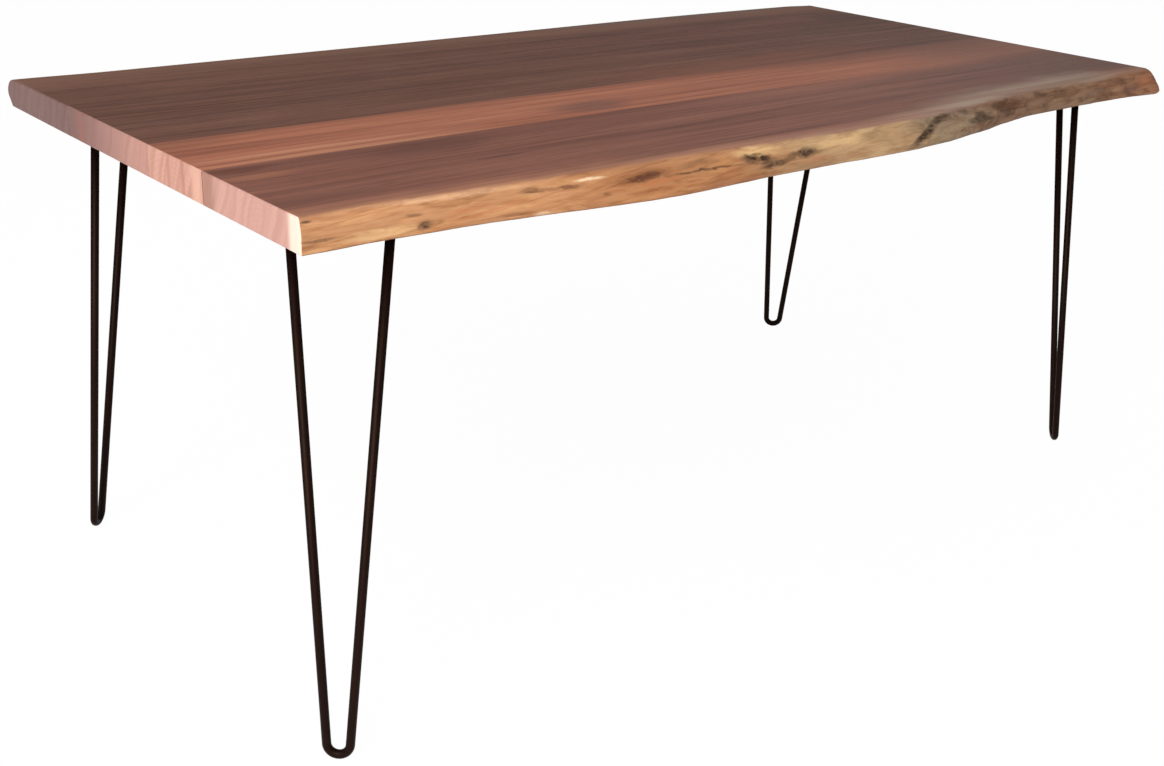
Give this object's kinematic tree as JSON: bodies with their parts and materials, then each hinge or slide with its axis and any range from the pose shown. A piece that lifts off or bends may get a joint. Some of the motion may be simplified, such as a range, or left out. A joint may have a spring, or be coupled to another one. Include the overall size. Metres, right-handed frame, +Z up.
{
  "type": "live edge dining table",
  "caption": "Rectangular dining table: a thick glued-up walnut top with wavy natural long edges and sawn ends, on hairpin legs of dark bent rod set across the corners.",
  "frame": {"origin": "on the floor, under the middle of the table's box", "axes": "+X along the table to the right of the picture, +Y from the front edge to the back, +Z up"},
  "size_m": [1.829, 0.9683, 0.781],
  "materials": {
    "live_edge_walnut": "satin oil",
    "reddish_walnut": "satin oil",
    "dark_walnut": "satin oil",
    "tongue_plywood": "raw",
    "painted_rod": "satin",
    "painted_plate": "satin",
    "painted_weld": "satin"
  },
  "bodies": {
    "root": {"front_live_edge_board": "live_edge_walnut", "middle_board": "reddish_walnut", "rear_inner_board": "dark_walnut", "rear_live_edge_board": "live_edge_walnut", "front_joint_tongue": "tongue_plywood", "middle_joint_tongue": "tongue_plywood", "rear_joint_tongue": "tongue_plywood", "front_left_hairpin_rod": "painted_rod", "front_left_mounting_plate": "painted_plate", "front_left_side_weld_bead": "painted_weld", "front_left_end_weld_bead": "painted_weld", "front_right_hairpin_rod": "painted_rod", "front_right_mounting_plate": "painted_plate", "front_right_side_weld_bead": "painted_weld", "front_right_end_weld_bead": "painted_weld", "rear_left_hairpin_rod": "painted_rod", "rear_left_mounting_plate": "painted_plate", "rear_left_side_weld_bead": "painted_weld", "rear_left_end_weld_bead": "painted_weld", "rear_right_hairpin_rod": "painted_rod", "rear_right_mounting_plate": "painted_plate", "rear_right_side_weld_bead": "painted_weld", "rear_right_end_weld_bead": "painted_weld"}
  },
  "joints": []
}
